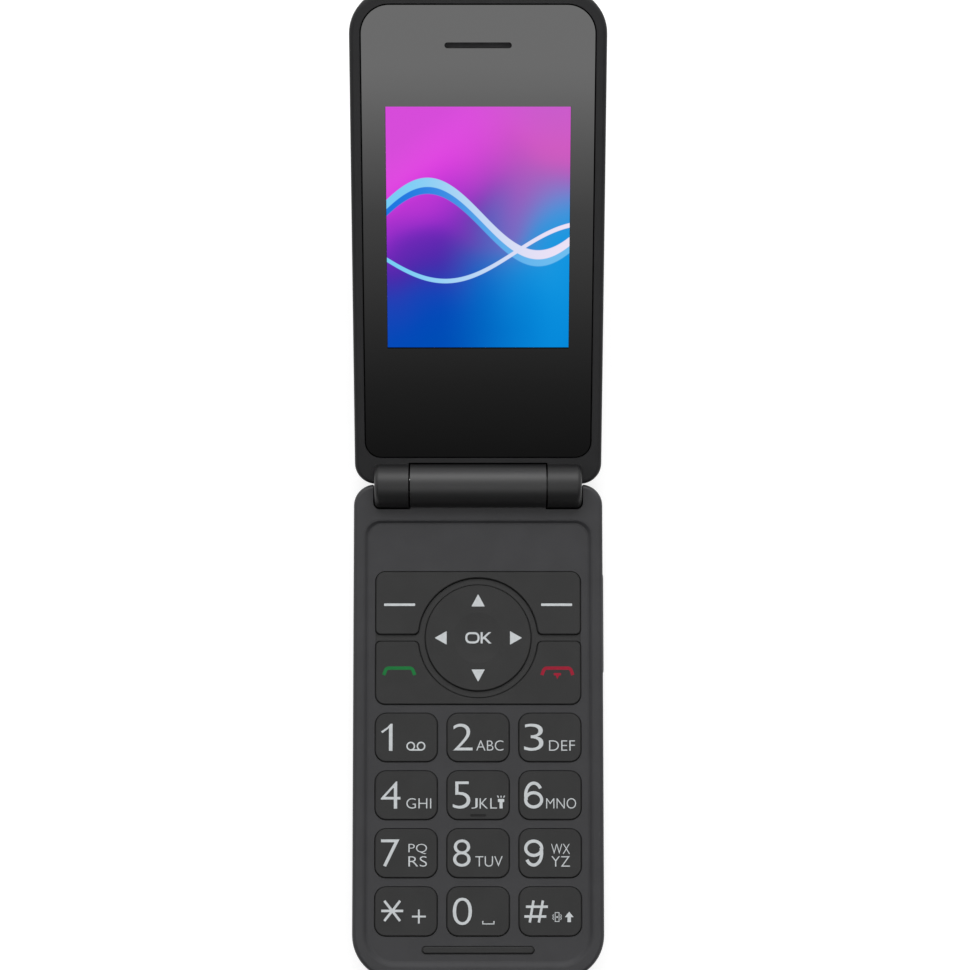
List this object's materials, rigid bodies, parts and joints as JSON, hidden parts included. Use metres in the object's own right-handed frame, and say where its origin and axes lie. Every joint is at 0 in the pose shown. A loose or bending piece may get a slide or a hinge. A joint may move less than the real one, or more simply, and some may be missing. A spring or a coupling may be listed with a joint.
{
  "type": "flip phone",
  "caption": "Folding mobile phone: keypad half and display half joined by a barrel hinge, with pressing keys, a tilting round key and a sliding battery cover.",
  "frame": {"origin": "centre of the base half's flat back, which rests on the table", "axes": "+Z out of the keypad, +Y from the chin towards the hinge and lid, +X to the right when facing the keypad"},
  "size_m": [0.0518, 0.1984, 0.0446],
  "materials": {
    "housing": "fine-grained dark grey",
    "frame": "fine-grained charcoal",
    "cover": "fine texture",
    "keys": "satin",
    "window": "gloss, dark border",
    "outer_glass": "gloss",
    "rubber": "matt",
    "silicone": "translucent grey",
    "board": "solder resist",
    "steel": "bright",
    "gold": "plated",
    "cell": "wrapped can",
    "display": "lit panel",
    "black_plastic": "moulded",
    "flex": "amber film",
    "lens": "coated",
    "flash": "milky",
    "magnet": "plated"
  },
  "bodies": {
    "base": {"base_front_housing": "housing", "base_rear_housing": "housing", "battery": "cell", "battery_connector": "black_plastic", "main_board": "board", "dome_sheet": "steel", "keypad_mat": "silicone", "side_switches": "black_plastic", "usb_socket": "steel", "headphone_socket": "black_plastic", "loudspeaker": "black_plastic", "vibration_motor": "steel", "card_holder": "steel", "microphone": "steel", "antenna": "gold", "base_screws": "steel", "lid_strip": "rubber", "hinge_case": "steel", "hinge_follower": "steel", "hinge_spring": "steel", "hinge_bush": "black_plastic", "hinge_flex": "flex"},
    "lid": {"lid_front_frame": "frame", "lid_rear_housing": "cover", "lid_window": "window", "earpiece_mesh": "steel", "earpiece": "black_plastic", "display_module": "display", "outer_window": "outer_glass", "outer_display": "display", "camera": "black_plastic", "camera_lens": "lens", "flash_lens": "flash", "lid_board": "board", "lid_magnet": "magnet", "lid_screws": "steel", "lid_flex": "flex", "hinge_shaft": "steel", "hinge_cam": "steel"},
    "battery_cover": {"battery_cover": "cover"},
    "soft_keys": {"soft_keys": "keys"},
    "call_end_keys": {"call_end_keys": "keys"},
    "nav_plunger": {"nav_plunger": "silicone"},
    "nav_pad": {"nav_pad": "silicone"},
    "nav_key": {"nav_key": "keys"},
    "side_key": {"side_key": "keys"},
    "key_1": {"key_1": "keys"},
    "key_2": {"key_2": "keys"},
    "key_3": {"key_3": "keys"},
    "key_4": {"key_4": "keys"},
    "key_5": {"key_5": "keys"},
    "key_6": {"key_6": "keys"},
    "key_7": {"key_7": "keys"},
    "key_8": {"key_8": "keys"},
    "key_9": {"key_9": "keys"},
    "key_star": {"key_star": "keys"},
    "key_0": {"key_0": "keys"},
    "key_hash": {"key_hash": "keys"}
  },
  "joints": [
    {"name": "lid_fold", "type": "hinge", "parent": "base", "child": "lid", "pos_m": [0, 0.05065, 0.0105], "axis": [1, 0, 0], "range_deg": [0, 160]},
    {"name": "battery_cover_slide", "type": "slide", "parent": "base", "child": "battery_cover", "axis": [0, -1, 0], "range_m": [0, 0.008]},
    {"name": "soft_keys_rock", "type": "hinge", "parent": "base", "child": "soft_keys", "pos_m": [0, 0.0191, 0.0088], "axis": [0, 1, 0], "range_deg": [-0.8, 0.8], "stiffness_Nm_per_rad": 2},
    {"name": "call_end_keys_rock", "type": "hinge", "parent": "base", "child": "call_end_keys", "pos_m": [0, 0.0191, 0.0088], "axis": [0, 1, 0], "range_deg": [-0.8, 0.8], "stiffness_Nm_per_rad": 2},
    {"name": "nav_press", "type": "slide", "parent": "base", "child": "nav_plunger", "axis": [0, 0, 1], "range_m": [-0.0003, 0], "stiffness_N_per_m": 4000},
    {"name": "nav_tilt_up_down", "type": "hinge", "parent": "nav_plunger", "child": "nav_pad", "pos_m": [0, 0.0191, 0.0075], "axis": [1, 0, 0], "range_deg": [-1.2, 1.2], "stiffness_Nm_per_rad": 1},
    {"name": "nav_tilt_left_right", "type": "hinge", "parent": "nav_pad", "child": "nav_key", "pos_m": [0, 0.0191, 0.0083], "axis": [0, 1, 0], "range_deg": [-1.2, 1.2], "stiffness_Nm_per_rad": 1},
    {"name": "side_key_rock", "type": "hinge", "parent": "base", "child": "side_key", "pos_m": [0.02495, 0.0221, 0.00675], "axis": [0, 0, 1], "range_deg": [-1, 1], "stiffness_Nm_per_rad": 1},
    {"name": "key_1_press", "type": "slide", "parent": "base", "child": "key_1", "axis": [0, 0, 1], "range_m": [-0.0003, 0], "stiffness_N_per_m": 4000},
    {"name": "key_2_press", "type": "slide", "parent": "base", "child": "key_2", "axis": [0, 0, 1], "range_m": [-0.0003, 0], "stiffness_N_per_m": 4000},
    {"name": "key_3_press", "type": "slide", "parent": "base", "child": "key_3", "axis": [0, 0, 1], "range_m": [-0.0003, 0], "stiffness_N_per_m": 4000},
    {"name": "key_4_press", "type": "slide", "parent": "base", "child": "key_4", "axis": [0, 0, 1], "range_m": [-0.0003, 0], "stiffness_N_per_m": 4000},
    {"name": "key_5_press", "type": "slide", "parent": "base", "child": "key_5", "axis": [0, 0, 1], "range_m": [-0.0003, 0], "stiffness_N_per_m": 4000},
    {"name": "key_6_press", "type": "slide", "parent": "base", "child": "key_6", "axis": [0, 0, 1], "range_m": [-0.0003, 0], "stiffness_N_per_m": 4000},
    {"name": "key_7_press", "type": "slide", "parent": "base", "child": "key_7", "axis": [0, 0, 1], "range_m": [-0.0003, 0], "stiffness_N_per_m": 4000},
    {"name": "key_8_press", "type": "slide", "parent": "base", "child": "key_8", "axis": [0, 0, 1], "range_m": [-0.0003, 0], "stiffness_N_per_m": 4000},
    {"name": "key_9_press", "type": "slide", "parent": "base", "child": "key_9", "axis": [0, 0, 1], "range_m": [-0.0003, 0], "stiffness_N_per_m": 4000},
    {"name": "key_star_press", "type": "slide", "parent": "base", "child": "key_star", "axis": [0, 0, 1], "range_m": [-0.0003, 0], "stiffness_N_per_m": 4000},
    {"name": "key_0_press", "type": "slide", "parent": "base", "child": "key_0", "axis": [0, 0, 1], "range_m": [-0.0003, 0], "stiffness_N_per_m": 4000},
    {"name": "key_hash_press", "type": "slide", "parent": "base", "child": "key_hash", "axis": [0, 0, 1], "range_m": [-0.0003, 0], "stiffness_N_per_m": 4000}
  ]
}
